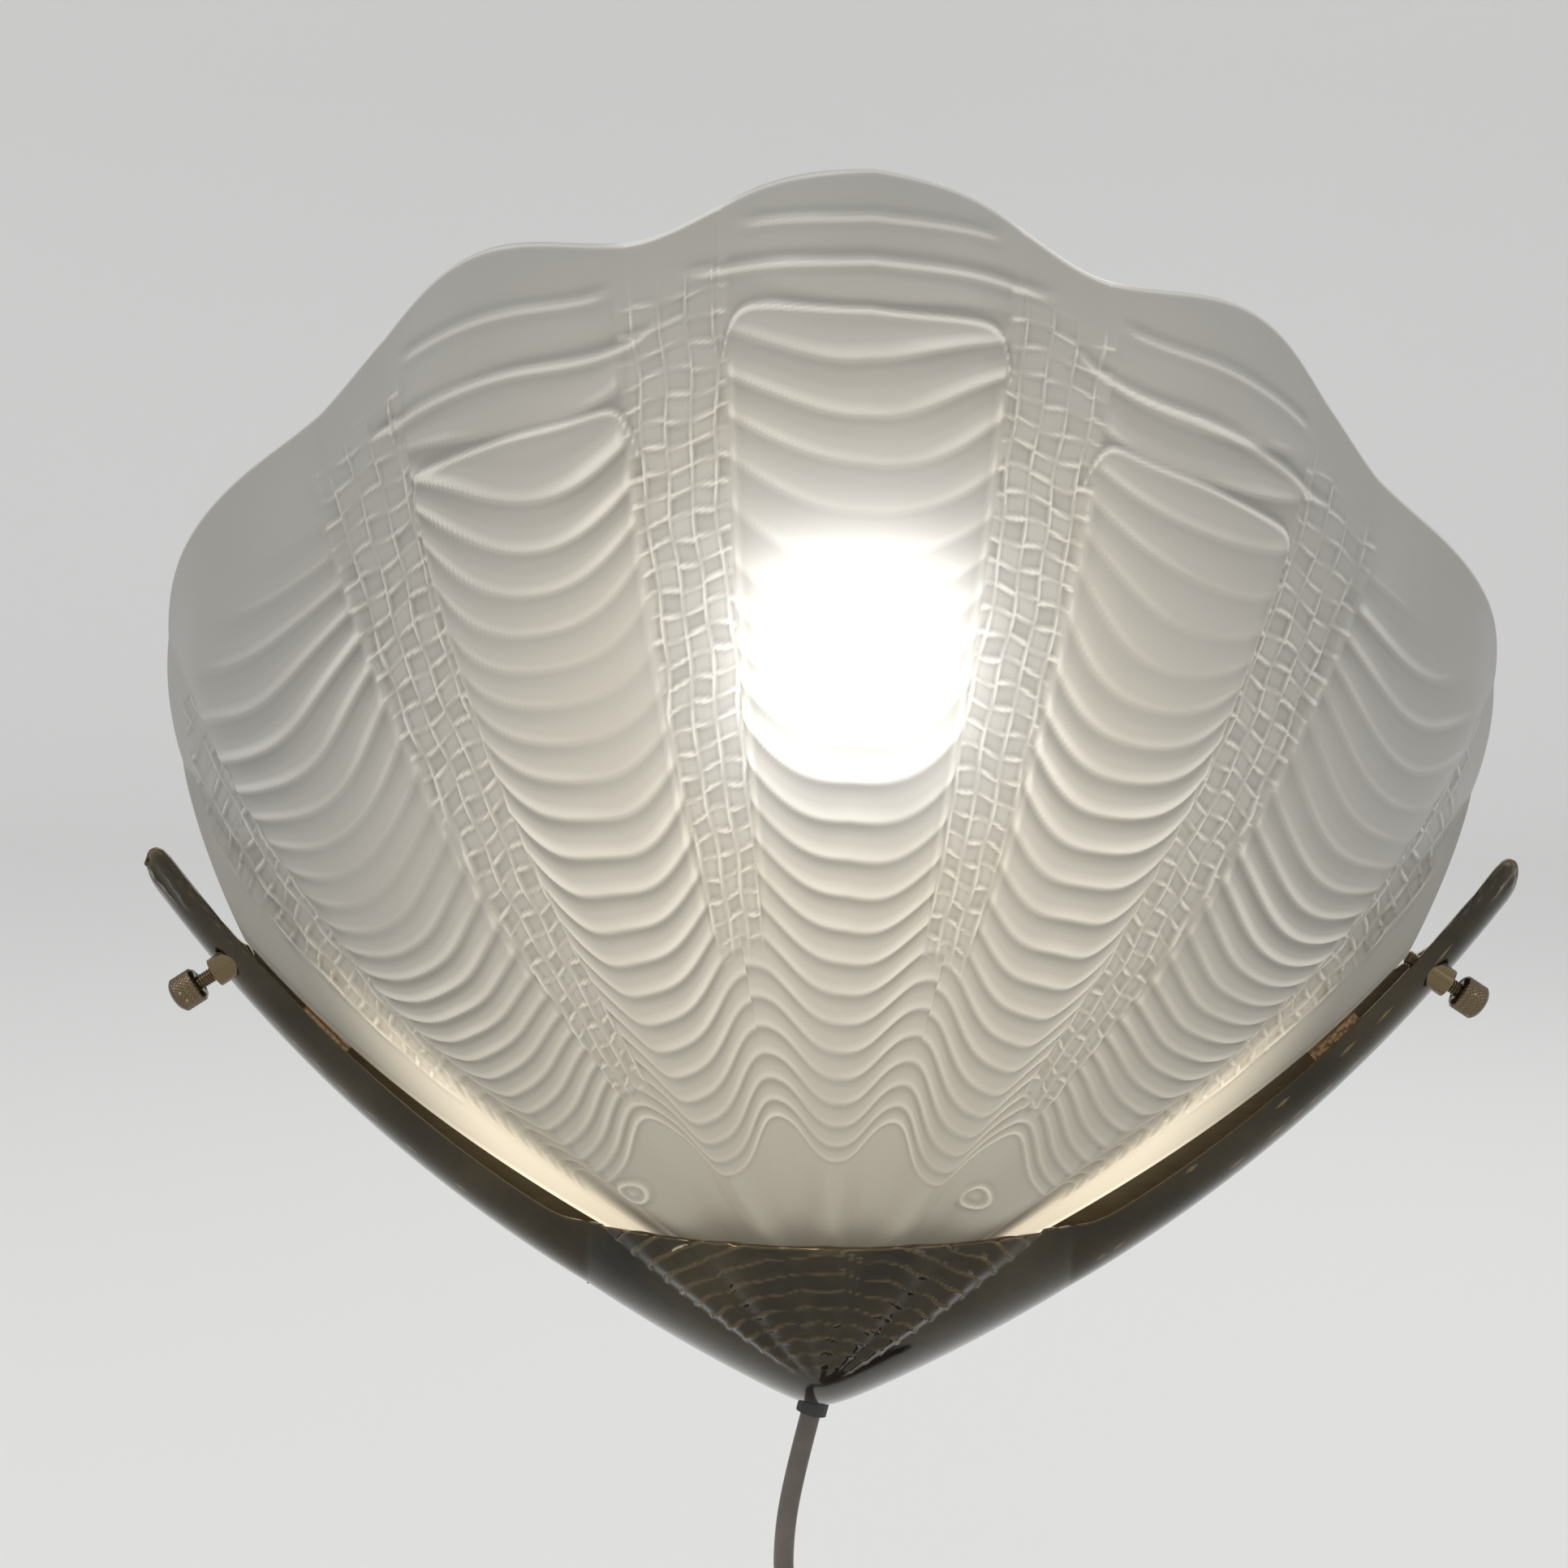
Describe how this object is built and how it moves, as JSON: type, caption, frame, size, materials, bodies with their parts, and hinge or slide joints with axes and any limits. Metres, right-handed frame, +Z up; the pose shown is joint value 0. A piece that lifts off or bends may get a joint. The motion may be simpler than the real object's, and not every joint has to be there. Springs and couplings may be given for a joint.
{
  "type": "wall sconce",
  "caption": "Wall lamp with a fluted scallop shell of thick glass standing in a fan-ribbed brass dish, held by knurled thumbscrews, lit from behind",
  "frame": {"origin": "middle of the wall plate's back face, on the wall", "axes": "X to the right, Z up, the lamp stands out from the wall towards -Y"},
  "size_m": [0.3608, 0.1423, 0.5247],
  "materials": {
    "shell_glass": "frosted, cast relief",
    "dark_brass": "polished, toned dark",
    "pale_brass": "satin",
    "screw_brass": "knurled, toned dark",
    "cork": "cork",
    "plated_steel": "zinc plated",
    "white_plastic": "moulded",
    "holder_ceramic": "glazed",
    "contact_brass": "bright",
    "live_pvc": "insulation",
    "neutral_pvc": "insulation",
    "flex_pvc": "sheath",
    "bush_rubber": "moulded",
    "opal_glass": "opal",
    "lamp_cap": "rolled",
    "tie_plastic": "strap",
    "plug_plastic": "moulded",
    "pin_brass": "bright"
  },
  "bodies": {
    "base": {"bracket_rivets": "plated_steel", "clamp_screws": "plated_steel", "coil_tie": "tie_plastic", "cord_bush": "bush_rubber", "cord_clamp": "plated_steel", "cord_coil": "flex_pvc", "cord_drop": "flex_pvc", "glass_holder": "dark_brass", "inner_cord": "flex_pvc", "lampholder_bracket": "plated_steel", "lampholder_cap": "white_plastic", "lampholder_contact": "contact_brass", "lampholder_insert": "holder_ceramic", "lampholder_nipple": "plated_steel", "lampholder_skirt": "white_plastic", "lampholder_thread": "contact_brass", "left_cork_pad": "cork", "left_screw_bush": "dark_brass", "live_wire": "live_pvc", "neutral_wire": "neutral_pvc", "nipple_nut": "plated_steel", "plug_body": "plug_plastic", "plug_pins": "pin_brass", "right_cork_pad": "cork", "right_screw_bush": "dark_brass", "terminal_screws": "contact_brass", "wall_plate": "pale_brass"},
    "glass_shell": {"glass_shell": "shell_glass"},
    "left_screw": {"left_screw_shank": "screw_brass"},
    "left_knob": {"left_screw_knob": "screw_brass"},
    "right_screw": {"right_screw_shank": "screw_brass"},
    "right_knob": {"right_screw_knob": "screw_brass"},
    "lamp": {"bulb_globe": "opal_glass", "bulb_cap": "lamp_cap", "bulb_contact": "lamp_cap"}
  },
  "joints": [
    {"name": "glass_lift", "type": "slide", "parent": "base", "child": "glass_shell", "axis": [0, -0.6428, 0.766], "range_m": [0, 0.12]},
    {"name": "lamp_lift", "type": "slide", "parent": "base", "child": "lamp", "axis": [0, 0, 1], "range_m": [0, 0.04]},
    {"name": "left_screw_travel", "type": "slide", "parent": "base", "child": "left_screw", "axis": [-0.8387, 0, -0.5446], "range_m": [0, 0.0035]},
    {"name": "left_knob_turn", "type": "hinge", "parent": "left_screw", "child": "left_knob", "pos_m": [-0.16717, -0.0115, -0.00449], "axis": [-0.8387, 0, -0.5446], "range_deg": [0, 1800]},
    {"name": "right_screw_travel", "type": "slide", "parent": "base", "child": "right_screw", "axis": [0.8387, 0, -0.5446], "range_m": [0, 0.0035]},
    {"name": "right_knob_turn", "type": "hinge", "parent": "right_screw", "child": "right_knob", "pos_m": [0.16717, -0.0115, -0.00449], "axis": [0.8387, 0, -0.5446], "range_deg": [0, 1800]}
  ],
  "couplings": [
    {"joint": "left_knob_turn", "follows": "left_screw_travel", "rad_per_m": 8976},
    {"joint": "right_knob_turn", "follows": "right_screw_travel", "rad_per_m": 8976}
  ]
}
